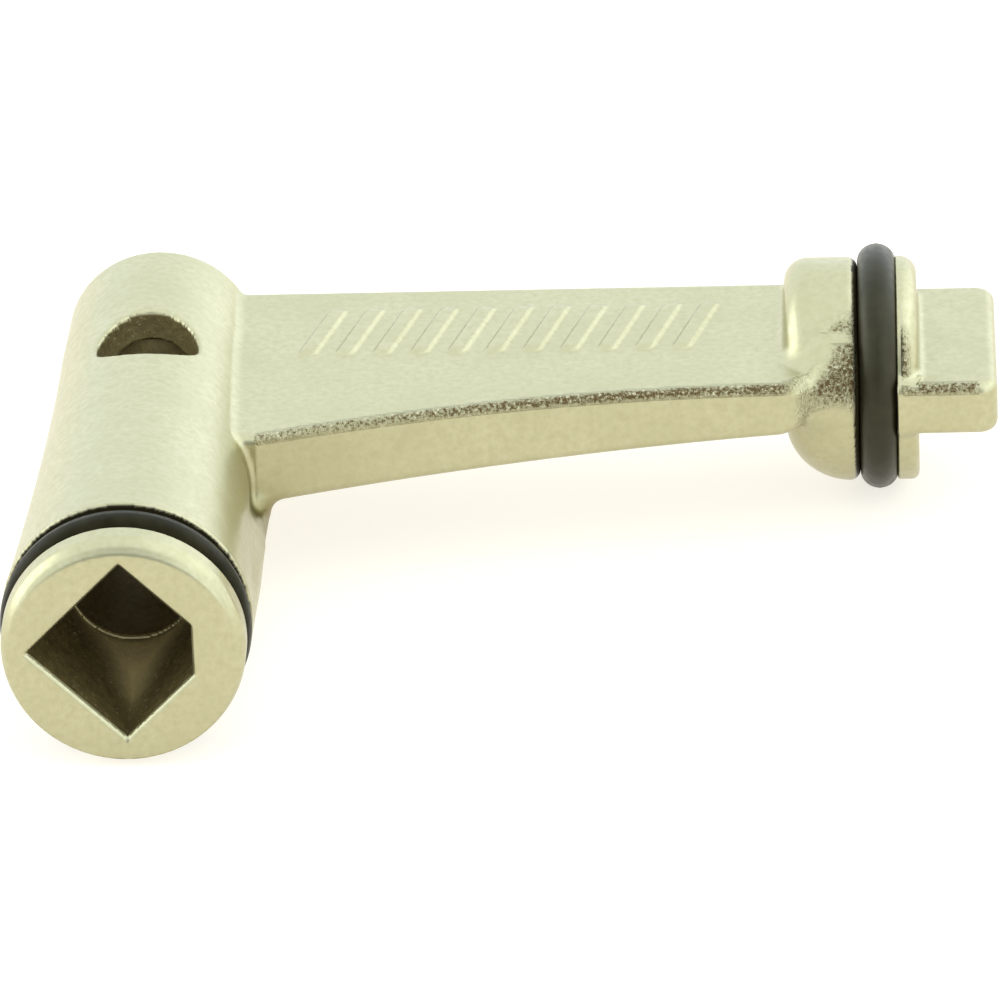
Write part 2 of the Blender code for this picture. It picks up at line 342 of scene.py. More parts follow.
def barrel(x, y, z):
    """Turned outside of the barrel, with its lip and its rounded far end."""
    radius = np.sqrt(x * x + z * z)
    outside = np.where(y < LAND_END, LAND_RADIUS, barrel_radius(y))
    lip = (np.hypot(x, z + FACE_DROP) - FACE_RADIUS - LIP_SLOPE * y) / math.hypot(1.0, LIP_SLOPE)
    lipped = round_max(radius - outside, lip, LIP_ROUND)
    ended = round_max(lipped, y - BARREL_LENGTH, END_ROUND)
    return round_max(ended, -y, LIP_CREASE)


def arm_front(x):
    """Y of the arm's front edge: a shallow curve that levels out, then eases back into the boss."""
    share = (ARM_END_X - np.clip(x, ARM_ROOT_X, ARM_END_X)) / (ARM_END_X - ARM_ROOT_X)
    past = np.maximum(x - CHEEK_START, 0.0)
    back = np.where(past < CHEEK_EASE, 0.5 * past * past / CHEEK_EASE, past - 0.5 * CHEEK_EASE)
    return ARM_FRONT_END - (ARM_FRONT_END - ARM_FRONT_ROOT) * share * share + back


def cheek(x):
    """Smooth 0 to 1 along the last stretch, where the arm's front goes back into the boss."""
    share = rise(x, CHEEK_START, CHEEK_LENGTH)
    return share * share * (3.0 - 2.0 * share)


def arm_bottom(x):
    """Z of the arm's underside, which rises towards the boss."""
    share = rise(x, 0.0, ARM_END_X)
    return ARM_BOTTOM_ROOT + (ARM_BOTTOM_END - ARM_BOTTOM_ROOT) * share * share


def ribs(x, y, z):
    """Row of plain raised ribs on the arm's top."""
    along = x - RIB_FIRST_X - RIB_SLANT * (y - RIB_Y)
    index = np.clip(np.round(along / RIB_PITCH), 0, RIB_COUNT - 1)
    across = np.abs(along - index * RIB_PITCH) - 0.5 * RIB_WIDTH
    length = np.abs(y - RIB_Y) - 0.5 * RIB_LENGTH
    plan = round_max(across, length, RIB_CORNER)
    drop = RIB_END_FALL * np.maximum(length + RIB_END_LENGTH, 0.0) ** 2
    return round_max(plan, np.abs(z - ARM_TOP) - RIB_HEIGHT + drop, RIB_EDGE)


def arm(x, y, z):
    """Flat-topped arm from the barrel's middle to inside the boss, with its ribs."""
    steep = 1.0 + CHEEK_STEEP * rise(x, CHEEK_START, CHEEK_EASE)
    plan = np.maximum((arm_front(x) - y) / steep, y - ARM_BACK)
    height = np.maximum(z - ARM_TOP, arm_bottom(x) - z)
    bar = round_max(plan, height, ARM_EDGE + CHEEK_EDGE * cheek(x))
    ended = np.maximum(bar, np.maximum(x - ARM_TIP_X, -x))
    return round_min(ended, ribs(x, y, z), RIB_FILLET)


def web(x, y, z):
    """Web along the barrel's side, from the groove to the arm's root."""
    side = x - WEB_X - WEB_LEAN * (y - WEB_START)
    plan = round_max(side, np.maximum(WEB_START - y, y - WEB_END), WEB_ROUND)
    top = WEB_TOP - WEB_FALL * rise(y, WEB_FALL_START, WEB_FALL_LENGTH)
    height = np.maximum(z - top, WEB_BOTTOM - z)
    return np.maximum(round_max(plan, height, WEB_ROUND), -x)


def boss(x, y, z):
    """Boss and collar, turned about the axis through the seal, rounder underneath at the arm."""
    across = y - BOSS_AXIS_Y
    up = z - BOSS_Z
    radius = np.sqrt(across * across + up * up)
    under = np.clip(-up / np.maximum(radius, 1e-3), 0.0, 1.0)
    round_at_arm = BOSS_ROUND + (BOSS_UNDER_ROUND - BOSS_ROUND) * under
    started = round_max(radius - BOSS_RADIUS, BOSS_START - x, round_at_arm)
    round_at_tang = COLLAR_ROUND + (COLLAR_UNDER_ROUND - COLLAR_ROUND) * under
    return round_max(started, x - COLLAR_END, round_at_tang)


def tang(x, y, z):
    """Flat blade beyond the collar, with round corners and softened edges."""
    across = np.abs(y - BOSS_AXIS_Y) - 0.5 * TANG_WIDTH
    plan = round_max(across, x - TANG_END, TANG_CORNER)
    height = np.maximum(z - TANG_TOP, TANG_BOTTOM - z)
    return np.maximum(round_max(plan, height, TANG_EDGE), COLLAR_END - TANG_OVERLAP - x)


def socket(x, y, z):
    """Keyed square hole on its corner, which blends into the round bore behind it."""
    square = (np.abs(x) + np.abs(z)) / math.sqrt(2.0) - SOCKET_HALF
    keyed = np.maximum(square, x - SOCKET_KEY)
    radius = np.sqrt(x * x + z * z)
    share = rise(y, SOCKET_SQUARE_DEPTH, SOCKET_DEPTH - SOCKET_SQUARE_DEPTH)
    blended = keyed + share * (radius - BORE_RADIUS - RIM_STEP - keyed)
    opened = blended - np.clip(SOCKET_CHAMFER - y, 0.0, SOCKET_CHAMFER)
    front = np.maximum(opened, y - SOCKET_DEPTH)
    rim_along = np.maximum(SOCKET_DEPTH - RIM_OVERLAP - y, y - SOCKET_DEPTH - RIM_WIDTH - RIM_OVERLAP)
    rim = np.maximum(radius - BORE_RADIUS, rim_along)
    bore_along = np.maximum(SOCKET_DEPTH + RIM_WIDTH - y, y - BORE_END)
    bore = np.maximum(radius - BORE_BEHIND, bore_along)
    return np.minimum(np.minimum(front, rim), bore)


def window(x, y, z):
    """Hole through the top of the barrel into the bore's end, flatter on the side near the mouth."""
    across = y - WINDOW_Y
    reach = np.where(across < 0.0, WINDOW_NEAR, WINDOW_FAR)
    share = np.sqrt((x / WINDOW_HALF_WIDTH) ** 2 + (across / reach) ** 2)
    return np.maximum((share - 1.0) * WINDOW_NEAR, -z)


def mouth_groove(x, y, z):
    """Seal groove behind the mouth."""
    radius = np.sqrt(x * x + z * z)
    ring = np.maximum(np.abs(y - RING_MIDDLE) - 0.5 * GROOVE_WIDTH, GROOVE_FLOOR - radius)
    return np.maximum(ring, radius - MOUTH_RADIUS - GROOVE_REACH)


def boss_groove(x, y, z):
    """Seal groove between the boss and its collar."""
    across = y - BOSS_AXIS_Y
    radius = np.sqrt(across * across + z * z)
    along = np.maximum(BOSS_GROOVE_START - x, x - BOSS_GROOVE_END)
    return np.maximum(along, BOSS_GROOVE_FLOOR - radius)


def casting(x, y, z):
    """The whole key body as one implicit solid, negative inside."""
    crank = round_min(arm(x, y, z), web(x, y, z), ROOT_FILLET)
    along_web = rise(y, WEB_FILLET_START, WEB_FILLET_GROWTH) * fall(y, ARM_FRONT_ROOT, WEB_FILLET_FADE)
    solid = round_min(barrel(x, y, z), crank, BARREL_FILLET + (WEB_FILLET - BARREL_FILLET) * along_web)
    head = round_min(boss(x, y, z), tang(x, y, z), TANG_FILLET)
    at_cheek = cheek(x) * fall(y, CHEEK_BEHIND, CHEEK_FADE)
    solid = round_min(solid, head, BOSS_FILLET + CHEEK_FILLET * at_cheek)
    solid = round_max(solid, -mouth_groove(x, y, z), EDGE_BREAK)
    toward_arm = fall(x, BOSS_GROOVE_START + BOSS_BREAK_REACH, BOSS_BREAK_FADE)
    groove_edge = EDGE_BREAK + (BOSS_GROOVE_BREAK - EDGE_BREAK) * toward_arm
    solid = round_max(solid, -boss_groove(x, y, z), groove_edge)
    solid = round_max(solid, -window(x, y, z), WINDOW_EDGE)
    return round_max(solid, -socket(x, y, z), SOCKET_EDGE)


def axis_marks(low, high, fine_spans):
    """Grid positions along one axis, closer together in the fine spans."""
    marks = [low]
    while marks[-1] < high:
        fine = any(start <= marks[-1] < end for start, end in fine_spans)
        marks.append(marks[-1] + (FINE_STEP if fine else GRID_STEP))
    return np.array(marks)


def grid_samples():
    """Samples of the casting on a grid that covers it, one slab of x at a time."""
    margin = 3.0 * GRID_STEP
    low, high = in_key(body_low), in_key(body_high)
    marks = [axis_marks(low[i] - margin, high[i] + margin, FINE_SPANS[i]) for i in range(3)]
    y = marks[1][:, None]
    z = marks[2][None, :]
    slabs = [casting(x, y, z).astype(np.float32) for x in marks[0]]
    return np.array(slabs), marks


def surface_net(values, marks):
    """Quad mesh of the zero surface: one point in each crossed cell, one quad for each crossed edge."""
    inside = values < 0.0
    cells = np.array(values.shape) - 1
    corners = [(i, j, k) for i in (0, 1) for j in (0, 1) for k in (0, 1)]

    def shifted(array, corner):
        i, j, k = corner
        return array[i:i + cells[0], j:j + cells[1], k:k + cells[2]]

    count = sum(shifted(inside, corner).astype(np.int8) for corner in corners)
    crossed = np.argwhere((count > 0) & (count < 8))
    number = np.full(cells, -1, dtype=np.int64)
    number[tuple(crossed.T)] = np.arange(len(crossed))
    total = np.zeros((len(crossed), 3))
    hits = np.zeros(len(crossed))
    for corner in corners:
        start = crossed + corner
        here = np.stack([marks[i][start[:, i]] for i in range(3)], axis=1)
        a = values[tuple(start.T)].astype(float)
        for axis in range(3):
            if corner[axis]:
                continue
            end = start.copy()
            end[:, axis] += 1
            b = values[tuple(end.T)].astype(float)
            hit = (a < 0.0) != (b < 0.0)
            share = np.where(hit, a / np.where(hit, a - b, 1.0), 0.0)
            point = here.copy()
            point[:, axis] += share * (marks[axis][end[:, axis]] - here[:, axis])
            total += point * hit[:, None]
            hits += hit
    points = total / hits[:, None]

    quads = []
    for axis in range(3):
        one = [slice(None)] * 3
        two = [slice(None)] * 3
        one[axis] = slice(0, -1)
        two[axis] = slice(1, None)
        edge_in = inside[tuple(one)]
        edges = np.argwhere(edge_in != inside[tuple(two)])
        u, v = (axis + 1) % 3, (axis + 2) % 3
        ring = []
        for du, dv in ((1, 1), (0, 1), (0, 0), (1, 0)):
            cell = edges.copy()
            cell[:, u] -= du
            cell[:, v] -= dv
            ring.append(number[tuple(cell.T)])
        ring = np.stack(ring, axis=1)
        outward = edge_in[tuple(edges.T)]
        quads.append(np.where(outward[:, None], ring, ring[:, ::-1]))
    return points, np.concatenate(quads)


def slope(points):
    """Gradient of the casting's function at each point."""
    parts = []
    for step in np.eye(3) * SLOPE_REACH:
        ahead = casting(*(points + step).T)
        behind = casting(*(points - step).T)
        parts.append((ahead - behind) / (2.0 * SLOPE_REACH))
    return np.stack(parts, axis=1)


def settle(points):
    """Move the mesh's points onto the exact surface, and return them with their normals."""
    for _ in range(SETTLE_ROUNDS):
        gradient = slope(points)
        square = np.maximum((gradient * gradient).sum(axis=1), LEAST_SLOPE)
        move = np.clip(casting(*points.T) / square, -LONGEST_MOVE, LONGEST_MOVE)
        points = points - move[:, None] * gradient
    gradient = slope(points)
    length = np.sqrt((gradient * gradient).sum(axis=1))
    return points, gradient / np.maximum(length, 1e-6)[:, None]


def barrel_top(x, y):
    """Height of the barrel's outside above its axis."""
    radius = barrel_radius(y)
    return np.sqrt(np.maximum(radius * radius - x * x, 0.0))


def inner_rim(points):
    """Soft 0 to 1 line along the edge where the socket opens into the bore, for a painted highlight."""
    x, y, z = points.T
    near = np.exp(-((y - RIM_LINE_Y) / RIM_LINE_WIDTH) ** 2)
    return near * (np.hypot(x, z) < BORE_RADIUS + RIM_STEP + RIM_LINE_REACH)


def recess(points):
    """Share of unplated brown surface: socket, bore and window's wall, less at the inner rim, where a
    painted highlight line is left lighter.
    """
    x, y, z = points.T
    on_socket = (np.abs(socket(x, y, z)) < WALL_NEAR) & (np.hypot(x, z) < HOLLOW_RADIUS)
    in_socket = on_socket & (y > HOLLOW_START) & (y < BORE_END + HOLLOW_PAST_END)
    on_window = (np.abs(window(x, y, z)) < WALL_NEAR) & (z > 0.0)
    in_window = on_window & (z < barrel_top(x, y) - WINDOW_LIP)
    return np.where(in_window, 1.0, in_socket * (1.0 - RIM_LINE_BRIGHTENING * inner_rim(points)))


def window_painted_light(points):
    """Painted light seen through the window, as if falling in through it, most of it deep down on the
    bore's end.
    """
    x, y, z = points.T
    radius = np.hypot(x, z)
    along = (y > WINDOW_Y - WINDOW_BEFORE) & (y < BORE_END + HOLLOW_PAST_END)
    deep = fall(radius, WINDOW_LIGHT_END, WINDOW_LIGHT_FADE)
    return (along & (radius < WINDOW_LIGHT_RADIUS)) * (WINDOW_LIGHT_LEAST + WINDOW_LIGHT_GAIN * deep)


def groove_grease_and_shade(points):
    """Share of dark grease and painted shade in the two seal grooves, and of a painted shadow band on the
    boss's edge beside its groove.
    """
    x, y, z = points.T
    boss_radius = np.hypot(y - BOSS_AXIS_Y, z)
    at_boss = (boss_groove(x, y, z) < DARK_GROOVE_NEAR) & (boss_radius < BOSS_RADIUS - BOSS_DARK_BELOW)
    below_mouth = np.hypot(x, z) < MOUTH_RADIUS - MOUTH_DARK_BELOW
    at_mouth = (mouth_groove(x, y, z) < DARK_GROOVE_NEAR) & below_mouth
    painted_break_shadow = np.abs(x - BREAK_SHADOW_X) < BREAK_SHADOW_WIDTH
    painted_break_shadow = painted_break_shadow & (boss_radius > BOSS_RADIUS - BREAK_SHADOW_DEEPEST)
    return np.where(at_boss | at_mouth | painted_break_shadow, 1.0, 0.0)


def painted_hollow_light(points):
    """Painted light: a painted lit fan in the socket's lower corner and a painted highlight on the inner
    rim; and a lighter start of the bore.
    """
    x, y, z = points.T
    depth = rise(y, 0.0, SOCKET_DEPTH)
    half_width = FAN_NARROW + (FAN_WIDE - FAN_NARROW) * depth ** 2
    fan = FAN_STRENGTH * np.exp(-((x - FAN_X) / half_width) ** 2) * depth ** FAN_POWER
    fan = fan * (z < 0.0) * (y > FAN_START) * (y < SOCKET_DEPTH + RIM_WIDTH)
    in_bore = BORE_LIGHTER * (y > SOCKET_DEPTH + RIM_WIDTH) * (y < WINDOW_Y - WINDOW_BEFORE)
    return np.clip(fan + in_bore + inner_rim(points), 0.0, 1.0)


def painted_root_shade(points):
    """Painted shade: dull brown in the corner between the barrel, the arm's root and the web, where the
    barrel shades them.
    """
    x, y, z = points.T
    away = (((points - CORNER_SPOT) / CORNER_SPREAD) ** 2).sum(axis=1)
    root = ROOT_STRENGTH * np.exp(-((x - ROOT_X) / ROOT_SPREAD) ** 2) * (z < ROOT_TOP)
    root = root * rise(x, ROOT_START_X, ROOT_START_LENGTH)
    root = root * rise(y, ROOT_START_Y, ROOT_GROWTH) * fall(y, ROOT_END_Y, ROOT_FADE)
    return np.clip(CORNER_STRENGTH * np.exp(-away) + root, 0.0, 1.0)


def near_lean(lean, middle, width):
    """Soft 0 to 1 band around one lean angle."""
    return np.exp(-((lean - middle) / width) ** 4)


def raw_edge_and_dark_reflection(points, normals):
    """Rough thin plating and painted dark reflection on the surfaces that lean forward, picked by which way
    they face: arm's edge, boss, collar and blade.
    """
    x, y, z = points.T
    lean = np.degrees(np.arctan2(normals[:, 2], -normals[:, 1]))
    edge = near_lean(lean, EDGE_LEAN, EDGE_LEAN_WIDTH)
    at_front = (x > ARM_ROOT_X) * (z > ARM_TOP - ARM_RAW_DEPTH) * (y < arm_front(x) + ARM_RAW_WIDTH)
    on_arm = edge * at_front * (1.0 - cheek(x)) ** 2
    on_arm = on_arm * (ARM_RAW_LEAST + (1.0 - ARM_RAW_LEAST) * rise(x, ARM_RAW_RISE_X, ARM_RAW_RISE_LENGTH))
    start = BOSS_RAW_START + BOSS_RAW_SLANT * lean
    on_boss = BOSS_RAW_SHARE * near_lean(lean, BOSS_LEAN, BOSS_LEAN_WIDTH) * rise(x, start, BOSS_RAW_FADE)
    on_boss = on_boss * (x < BOSS_GROOVE_START - BOSS_RAW_MARGIN) * (normals[:, 0] > BOSS_RAW_FACING)
    on_collar = COLLAR_RAW_SHARE * near_lean(lean, COLLAR_LEAN, COLLAR_LEAN_WIDTH)
    on_collar = on_collar * (x > COLLAR_RAW_START) * (x <= COLLAR_END)
    on_tang = TANG_RAW_SHARE * edge * (z > TANG_TOP - TANG_RAW_DEPTH)
    on_tang = on_tang * (x > COLLAR_END) * (x < TANG_RAW_END)
    flat_along = np.exp(-(normals[:, 0] / FLAT_FACING) ** 4)
    area = flat_along * (on_arm + on_collar + on_tang) + on_boss
    return np.clip(area * (y < BOSS_AXIS_Y) * (normals[:, 1] < FORWARD_FACING), 0.0, 1.0)


def add_value(mesh, name, values):
    """Store one number per point, for the material to read."""
    layer = mesh.attributes.new(name, "FLOAT", "POINT")
    layer.data.foreach_set("value", values.astype(np.float32))


def finished(mesh, name, material):
    """Link a smooth mesh with its material as an object of the scene."""
    mesh.validate()
    mesh.shade_smooth()
    mesh.materials.append(material)
    made = bpy.data.objects.new(name, mesh)
    bpy.context.scene.collection.objects.link(made)
    return made


def make_casting(material):
    """Mesh the casting, with its surface marks and its exact normals."""
    values, marks = grid_samples()
    points, quads = surface_net(values, marks)
    points, normals = settle(points)
    world = points * MM + np.array(KEY_ORIGIN)
    mesh = bpy.data.meshes.new("cast_key_body")
    mesh.from_pydata(world.tolist(), [], quads.tolist())
    made = finished(mesh, "cast_key_body", material)
    add_value(mesh, "recess", recess(points))
    add_value(mesh, "groove_grease_and_shade", groove_grease_and_shade(points))
    add_value(mesh, "painted_hollow_light", np.maximum(painted_hollow_light(points), window_painted_light(points)))
    add_value(mesh, "painted_root_shade", painted_root_shade(points))
    add_value(mesh, "raw_edge_and_dark_reflection", raw_edge_and_dark_reflection(points, normals))
    mesh.normals_split_custom_set_from_vertices(normals.tolist())
    return made


def make_ring(name, axis, centre, inner, outer, width, material):
    """Moulded O-ring turned about X or Y, with the faint flash line that its mould leaves outside."""
    middle = 0.5 * (inner + outer)
    points = []
    for turn in range(SEAL_TURNS):
        spin = 2.0 * math.pi * turn / SEAL_TURNS
        for side in range(SEAL_SIDES):
            angle = 2.0 * math.pi * side / SEAL_SIDES
            from_outside = angle if angle < math.pi else angle - 2.0 * math.pi
            flash = FLASH_HEIGHT * math.exp(-(from_outside / FLASH_SPREAD) ** 2)
            radius = middle + (0.5 * (outer - inner) - FLASH_HEIGHT + flash) * math.cos(angle)
            along = 0.5 * width * math.sin(angle)
            across, up = radius * math.cos(spin), radius * math.sin(spin)
            local = Vector((across, along, up)) if axis == "Y" else Vector((along, across, up))
            points.append((Vector(centre) + local) * MM + KEY_ORIGIN)
    faces = []
    for turn in range(SEAL_TURNS):
        here = turn * SEAL_SIDES
        after = (turn + 1) % SEAL_TURNS * SEAL_SIDES
        for side in range(SEAL_SIDES):
            beside = (side + 1) % SEAL_SIDES
            face = [here + side, here + beside, after + beside, after + side]
            faces.append(face if axis == "X" else face[::-1])
    mesh = bpy.data.meshes.new(name)
    mesh.from_pydata(points, [], faces)
    return finished(mesh, name, material)


class Nodes:
    """Short helper for building a material's node tree."""

    def __init__(self, name):
        self.material = bpy.data.materials.new(name)
        self.material.use_nodes = True
        self.tree = self.material.node_tree
        self.shader = self.tree.nodes["Principled BSDF"]
        coordinates = self.tree.nodes.new("ShaderNodeTexCoord")
        mapping = self.tree.nodes.new("ShaderNodeMapping")
        mapping.inputs["Scale"].default_value = (1.0 / MM, 1.0 / MM, 1.0 / MM)
        self.tree.links.new(coordinates.outputs["Object"], mapping.inputs["Vector"])
        self.place = mapping.outputs["Vector"]

    def link(self, source, target):
        """Join one socket to another."""
        self.tree.links.new(source, target)

    def noise(self, per_mm, detail=2.0, roughness=0.5):
        """Soft noise with about this many lumps in each millimetre."""
        node = self.tree.nodes.new("ShaderNodeTexNoise")
        node.inputs["Scale"].default_value = per_mm
        node.inputs["Detail"].default_value = detail
        node.inputs["Roughness"].default_value = roughness
        self.link(self.place, node.inputs["Vector"])
        return node.outputs["Fac"]

    def value(self, name):
        """The number that the mesh stores per point under this name."""
        node = self.tree.nodes.new("ShaderNodeAttribute")
        node.attribute_name = name
        return node.outputs["Fac"]

    def spread(self, source, low, high, to_low=0.0, to_high=1.0):
        """Map the range from low to high onto another one, and hold it there."""
        node = self.tree.nodes.new("ShaderNodeMapRange")
        node.inputs["From Min"].default_value = low
        node.inputs["From Max"].default_value = high
        node.inputs["To Min"].default_value = to_low
        node.inputs["To Max"].default_value = to_high
        self.link(source, node.inputs["Value"])
        return node.outputs["Result"]

    def math(self, operation, a, b):
        """Sum, difference or product of two sockets or numbers."""
        node = self.tree.nodes.new("ShaderNodeMath")
        node.operation = operation
        for socket_in, value in zip(node.inputs, (a, b)):
            if isinstance(value, (int, float)):
                socket_in.default_value = value
            else:
                self.link(value, socket_in)
        return node.outputs["Value"]

    def blend(self, share, a, b):
        """Mix of two colours, a where the share is 0 and b where it is 1."""
        node = self.tree.nodes.new("ShaderNodeMix")
        node.data_type = "RGBA"
        self.link(share, node.inputs["Factor"])
        for key, value in (("A", a), ("B", b)):
            target = [s for s in node.inputs if s.name == key and s.type == "RGBA"][0]
            if isinstance(value, tuple):
                target.default_value = (*value, 1.0)
            else:
                self.link(value, target)
        return [s for s in node.outputs if s.type == "RGBA"][0]

    def bump(self, height, depth_mm, strength, normal=None):
        """Small relief in the surface, on top of an earlier one if that is given."""
        node = self.tree.nodes.new("ShaderNodeBump")
        node.inputs["Distance"].default_value = depth_mm * MM
        node.inputs["Strength"].default_value = strength
        self.link(height, node.inputs["Height"])
        if normal is not None:
            self.link(normal, node.inputs["Normal"])
        return node.outputs["Normal"]


# Nickel plate, from its darker clouds to its lighter ones, and what shows where it is thin: specks that are
# partly rough plating and partly painted dark reflection, with painted glints
PLATE_SHADE = (0.490, 0.465, 0.288)
PLATE_LIGHT = (0.530, 0.502, 0.322)
PLATE_GRAIN = (0.455, 0.428, 0.255)
# Painted shade: the dull brown for the corner at the arm's root
PAINTED_SHADE_BROWN = (0.25, 0.215, 0.10)
SPECK_DARK = (0.155, 0.105, 0.047)
SPECK_GLINT = (0.85, 0.80, 0.60)

# Bare surface inside the hollows, with its painted light and painted glints, and the grease and painted
# shade in the seal grooves
HOLLOW_DARK = (0.105, 0.077, 0.025)
HOLLOW_LIGHT = (0.195, 0.15, 0.052)
BRIGHT_HOLLOW_METAL = (0.88, 0.72, 0.36)
PAINTED_GLINT = (0.75, 0.68, 0.45)
GREASE_AND_SHADE = (0.03, 0.024, 0.01)

# How far raw edges, hollows and the grooves' grease and painted shade change the plate: more specks, less
# metal, more roughness
EDGE_MORE_SPECKS = 0.32
EDGE_ROUGHER = 0.12
HOLLOW_LESS_METAL = 0.6
HOLLOW_ROUGHER = 0.2
GREASE_AND_SHADE_LESS_METAL = 0.9

# Rubber with its bloom, and the table's pale paper tone with its glow
RUBBER_DARK = (0.008, 0.007, 0.003)
RUBBER_BLOOM = (0.018, 0.016, 0.008)
PAPER_DARK = (0.36, 0.335, 0.295)
PAPER_LIGHT = (0.38, 0.355, 0.315)
PAPER_GLOW = (1.0, 0.97, 0.90, 1.0)


def plated_casting():
    """Warm nickel plate over a fine cast surface, thin and speckled on raw edges with painted dark
    reflection and glints, brown inside with painted light, and painted shade at the arm's root and in the
    grooves.
    """
    n = Nodes("plated_casting")
    cloud = n.noise(0.35, 3.0)
    grain = n.noise(3.2, 3.0, 0.6)
    plate = n.blend(n.spread(cloud, 0.35, 0.65), PLATE_SHADE, PLATE_LIGHT)
    plate = n.blend(n.spread(grain, 0.35, 0.75), plate, PLATE_GRAIN)
    # Painted shade in the corner at the arm's root
    plate = n.blend(n.value("painted_root_shade"), plate, PAINTED_SHADE_BROWN)

    # Specks on raw edges: partly rough thin plating, partly painted dark reflection, with painted glints
    edge = n.value("raw_edge_and_dark_reflection")
    speck = n.noise(7.5, 3.0, 0.7)
    cut = n.math("ADD", speck, n.math("MULTIPLY", edge, EDGE_MORE_SPECKS))
    dark = n.math("MULTIPLY", n.spread(cut, 0.68, 0.86), n.spread(edge, 0.08, 0.4))
    plate = n.blend(dark, plate, SPECK_DARK)
    glint = n.math("MULTIPLY", n.spread(speck, 0.40, 0.32), n.spread(edge, 0.2, 0.7))
    plate = n.blend(glint, plate, SPECK_GLINT)

    hollow = n.value("recess")
    crust = n.noise(2.6, 4.0, 0.7)
    brown = n.blend(n.spread(crust, 0.35, 0.65), HOLLOW_DARK, HOLLOW_LIGHT)
    # Painted light in the hollows: rim highlight, lit fan and light through the window; then painted glints
    brown = n.blend(n.value("painted_hollow_light"), brown, BRIGHT_HOLLOW_METAL)
    brown = n.blend(n.spread(n.noise(5.5, 2.0, 0.6), 0.66, 0.74), brown, PAINTED_GLINT)
    # Grease and painted shade in the seal grooves, and a painted shadow on the boss's edge
    grease_and_shade = n.value("groove_grease_and_shade")
    colour = n.blend(grease_and_shade, n.blend(hollow, plate, brown), GREASE_AND_SHADE)
    n.link(colour, n.shader.inputs["Base Color"])

    plated = n.math("SUBTRACT", 1.0, n.math("MULTIPLY", hollow, HOLLOW_LESS_METAL))
    plated = n.math("SUBTRACT", plated, n.math("MULTIPLY", grease_and_shade, GREASE_AND_SHADE_LESS_METAL))
    n.link(plated, n.shader.inputs["Metallic"])
    rough = n.spread(grain, 0.25, 0.8, 0.27, 0.38)
    rough = n.math("ADD", rough, n.math("MULTIPLY", edge, EDGE_ROUGHER))
    rough = n.math("ADD", rough, n.math("MULTIPLY", hollow, HOLLOW_ROUGHER))
    n.link(rough, n.shader.inputs["Roughness"])

    wide = n.bump(n.noise(0.8, 2.0), 0.12, 0.18)
    small = n.bump(n.noise(8.0, 3.0, 0.65), 0.02, 0.14, wide)
    pits = n.bump(n.math("MULTIPLY", speck, edge), 0.3, 1.0, small)
    crusty = n.bump(n.math("MULTIPLY", crust, hollow), 0.2, 0.4, pits)
    n.link(crusty, n.shader.inputs["Normal"])
    return n.material


def black_rubber(name, index, level, tint):
    """Smooth moulded rubber with a faint bloom; index, level and tint set how strong and warm its sheen is.
    """
    n = Nodes(name)
    bloom = n.noise(1.2, 4.0, 0.6)
    n.link(n.blend(n.spread(bloom, 0.35, 0.7), RUBBER_DARK, RUBBER_BLOOM), n.shader.inputs["Base Color"])
    n.link(n.spread(n.noise(3.0, 3.0), 0.3, 0.7, 0.30, 0.42), n.shader.inputs["Roughness"])
    n.shader.inputs["IOR"].default_value = index
    n.shader.inputs["Specular IOR Level"].default_value = level
    n.shader.inputs["Specular Tint"].default_value = (*tint, 1.0)
    n.link(n.bump(n.noise(9.0, 2.0), 0.01, 0.3), n.shader.inputs["Normal"])
    return n.material


def pale_table():
    """Matt pale surface that is lit a little from below."""
    n = Nodes("pale_table")
    n.link(n.blend(n.noise(0.02, 2.0), PAPER_DARK, PAPER_LIGHT), n.shader.inputs["Base Color"])
    n.shader.inputs["Roughness"].default_value = 0.9
    n.shader.inputs["Emission Color"].default_value = PAPER_GLOW
    n.shader.inputs["Emission Strength"].default_value = FLOOR_GLOW
    return n.material


# Room light: its level, and how it changes towards the right, the far right and the camera
ROOM_COLOUR = (0.87, 0.95, 1.0, 1.0)
ROOM_LEVEL = 1.55
RIGHT_LEVEL = 0.5
RIGHT_START = 0.05
RIGHT_END = 0.6
FAR_RIGHT_FALL = 0.8
FAR_RIGHT_START = 0.75
FAR_RIGHT_END = 0.95
DIM_LEVEL = 0.4
DIM_DIRECTION = (0.0, -0.97, 0.24)
DIM_START = 0.7
DIM_END = 0.98

# Table and the two soft panels beside it, in metres and watts
FLOOR_REACH = 3.0
FLOOR_GLOW = 0.76
PANEL_SIDE = 0.30
PANEL_BACK = 0.02
PANEL_HEIGHT = 0.10
PANEL_SIZE = (0.30, 0.25)
PANEL_COLOUR = (0.95, 1.0, 1.0)
LEFT_PANEL_WATTS = 0.3
RIGHT_PANEL_WATTS = 0.12

# Camera: a long lens in front of the mouth and above the bench, placed in the key's own frame
CAMERA_PLACE = Vector((29.91, -350.65, 180.51))
CAMERA_TURN = math.radians(2.411)
CAMERA_DOWN = math.radians(26.381)
CAMERA_ROLL = math.radians(-2.133)
CAMERA_LENS = 360.0


def make_camera():
    """Camera that looks down at the key from in front, with everything in focus."""
    data = bpy.data.cameras.new("camera")
    data.lens = CAMERA_LENS
    data.sensor_width = 36.0
    data.clip_start = 0.01
    camera = bpy.data.objects.new("camera", data)
    turn = Matrix.Rotation(CAMERA_TURN, 4, "Z") @ Matrix.Rotation(math.radians(90.0) - CAMERA_DOWN, 4, "X")
    place = Matrix.Translation(CAMERA_PLACE * MM + KEY_ORIGIN)
    camera.matrix_world = place @ turn @ Matrix.Rotation(CAMERA_ROLL, 4, "Z")
    bpy.context.scene.collection.objects.link(camera)
    bpy.context.scene.camera = camera


